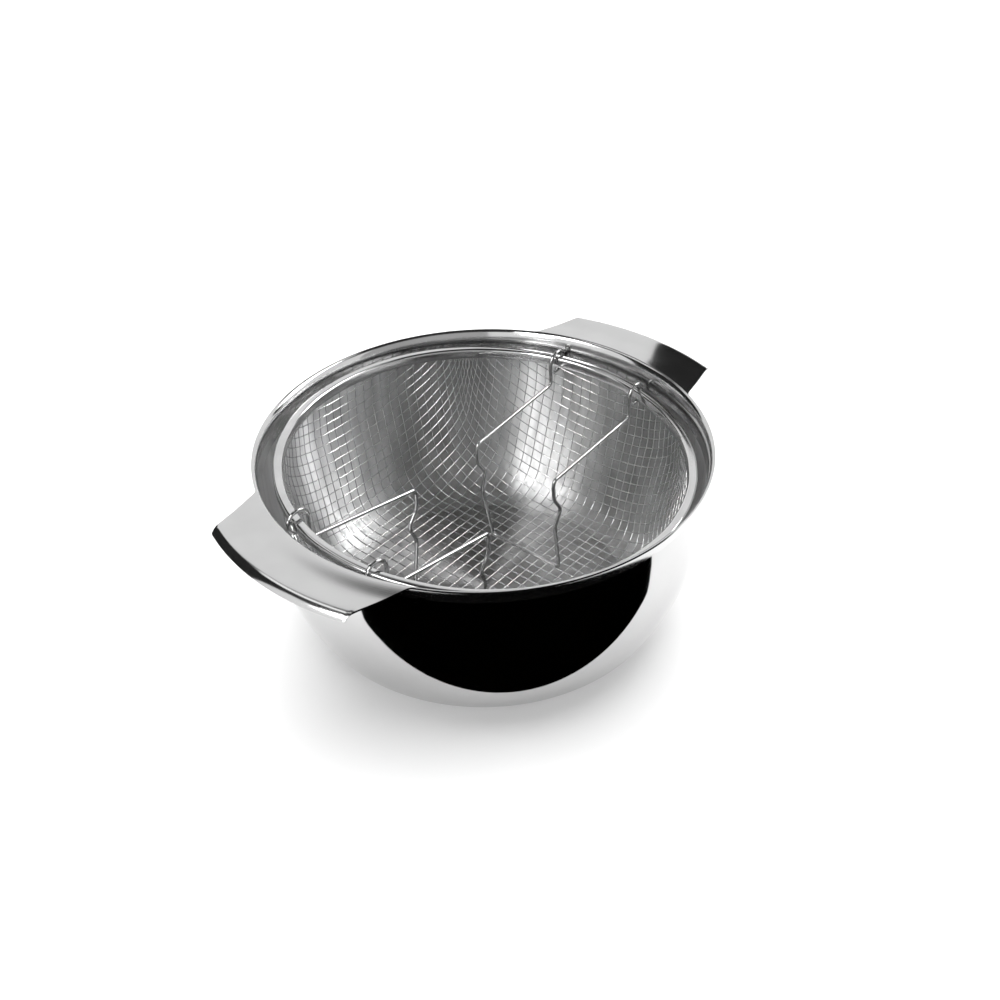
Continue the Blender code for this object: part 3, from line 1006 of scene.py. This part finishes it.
def glow_material(name, level):
    material, _, shader = new_material(name)
    shader.inputs["Base Color"].default_value = grey(0.0)
    shader.inputs["Specular IOR Level"].default_value = 0.0
    shader.inputs["Emission Color"].default_value = grey(1.0)
    shader.inputs["Emission Strength"].default_value = level
    return material


def build_card(name, corners, place, level):
    """A studio card that only shows in reflections: dark ones are flags, bright ones lights."""
    card = add_object(name, flat_mesh(name, corners), glow_material(name, level))
    card.matrix_world = in_part(place)
    card.visible_camera = False
    card.visible_diffuse = False
    card.visible_shadow = False


def rectangle(width, height):
    x, y = 0.5 * width, 0.5 * height
    return ((-x, -y), (x, -y), (x, y), (-x, y))


def upright():
    """The turn that stands a card up, with its face along Y."""
    return Matrix.Rotation(math.pi / 2, 4, "X")


def standing(azimuth, distance, bottom, top):
    """Place of an upright card that faces the middle from an azimuth in the camera's frame."""
    angle = math.radians(azimuth)
    spot = Vector((distance * math.cos(angle), distance * math.sin(angle), 0.5 * (bottom + top)))
    return Matrix.Translation(spot) @ Matrix.Rotation(angle - math.pi / 2, 4, "Z") @ upright()


def raised(azimuth, elevation, distance):
    """Place of a card overhead that faces the middle, in the camera's frame."""
    around = Matrix.Rotation(math.radians(azimuth), 4, "Z")
    aim = around @ Matrix.Rotation(-math.radians(elevation), 4, "Y")
    facing = Matrix.Rotation(math.pi / 2, 4, "Y") @ Matrix.Rotation(math.pi / 2, 4, "Z")
    return aim @ Matrix.Translation((distance, 0.0, 0.0)) @ facing


def build_cards():
    edge_middle = Vector((0.0, FRONT_EDGE, CARD_LIFT))
    turn = Matrix.Rotation(FRONT_EDGE_ANGLE, 4, "Z")
    outward = Matrix.Translation((0.0, -0.5 * FRONT_CARD, 0.0))
    build_card("front_void", rectangle(2 * FRONT_CARD, FRONT_CARD),
               Matrix.Translation(edge_middle) @ turn @ outward, 0.0)
    build_card("rear_void", REAR_VOID, Matrix.Translation((0.0, 0.0, CARD_LIFT)), REAR_VOID_LEVEL)
    for name, azimuth, distance, width, bottom, top, level in STANDING_CARDS:
        build_card(name, rectangle(width, top - bottom), standing(azimuth, distance, bottom, top),
                   level)
    for name, azimuth, elevation, distance, width, height, level in RAISED_CARDS:
        build_card(name, rectangle(width, height), raised(azimuth, elevation, distance), level)
    build_card("handle_flag", HANDLE_FLAG,
               Matrix.Translation((0.0, HANDLE_FLAG_AWAY, 0.0)) @ upright(), HANDLE_FLAG_LEVEL)


def build_floor():
    """A pale floor that glows more with distance, so that it fades into the white round it."""
    material, tree, shader = new_material("pale_floor")
    shader.inputs["Base Color"].default_value = grey(FLOOR_TONE)
    shader.inputs["Roughness"].default_value = FLOOR_ROUGHNESS
    shader.inputs["Specular IOR Level"].default_value = 0.0
    shader.inputs["Emission Color"].default_value = grey(1.0)
    place = tree.nodes.new("ShaderNodeTexCoord")
    length = tree.nodes.new("ShaderNodeVectorMath")
    length.operation = "LENGTH"
    glow = tree.nodes.new("ShaderNodeMapRange")
    glow.interpolation_type = "SMOOTHSTEP"
    for socket, value in zip(("From Min", "From Max", "To Min", "To Max"),
                             FLOOR_GLOW_REACH + FLOOR_GLOW):
        glow.inputs[socket].default_value = value
    tree.links.new(place.outputs["Object"], length.inputs[0])
    tree.links.new(length.outputs["Value"], glow.inputs["Value"])
    tree.links.new(glow.outputs["Result"], shader.inputs["Emission Strength"])
    floor = add_object("floor", flat_mesh("floor", rectangle(FLOOR_SIZE, FLOOR_SIZE)), material)


def build_world():
    """White round the horizon, falling to a dark ceiling."""
    world = bpy.data.worlds.new("studio")
    bpy.context.scene.world = world
    world.use_nodes = True
    tree = world.node_tree
    place = tree.nodes.new("ShaderNodeTexCoord")
    split = tree.nodes.new("ShaderNodeSeparateXYZ")
    ramp = tree.nodes.new("ShaderNodeValToRGB")
    ramp.color_ramp.elements.new(0.5)
    for index, (spot, level) in enumerate((SKY_LOW, SKY_HIGH, SKY_TOP)):
        ramp.color_ramp.elements[index].position = spot
        ramp.color_ramp.elements[index].color = grey(level)
    tree.links.new(place.outputs["Generated"], split.inputs["Vector"])
    tree.links.new(split.outputs["Z"], ramp.inputs["Fac"])
    background = tree.nodes["Background"]
    tree.links.new(ramp.outputs["Color"], background.inputs["Color"])
    background.inputs["Strength"].default_value = SKY_STRENGTH
    bpy.context.scene.view_settings.view_transform = "Standard"


def build_top_light():
    """One wide soft light above and behind the part, for the floor and its shadow."""
    light = bpy.data.lights.new("top_light", "AREA")
    light.shape = "DISK"
    light.size = TOP_LIGHT_SIZE
    light.energy = TOP_LIGHT_POWER
    lamp = bpy.data.objects.new("top_light", light)
    aim = Matrix.Rotation(math.atan2(TOP_LIGHT_BACK, TOP_LIGHT_HEIGHT), 4, "X")
    lamp.matrix_world = in_part(Matrix.Translation((0.0, TOP_LIGHT_BACK, TOP_LIGHT_HEIGHT))
                                @ aim.inverted())
    lamp.visible_glossy = False
    bpy.context.scene.collection.objects.link(lamp)


def coat(node, material):
    """Gives a hidden CAD node its finish."""
    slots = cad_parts[node].data.materials
    slots.clear()
    slots.append(material)


def build_everything():
    materials = make_materials()
    place = basket_matrix()
    build_pan(materials)
    build_base_cap(materials)
    build_ring(materials, place)
    build_mesh(materials, place)
    for name in BAILS:
        build_bail(name, materials, place)
    coat("base_core", materials["aluminium"])
    coat("rim_core_wire", materials["wire"])
    build_floor()
    build_world()
    build_top_light()
    build_cards()
    place_camera()


build_everything()
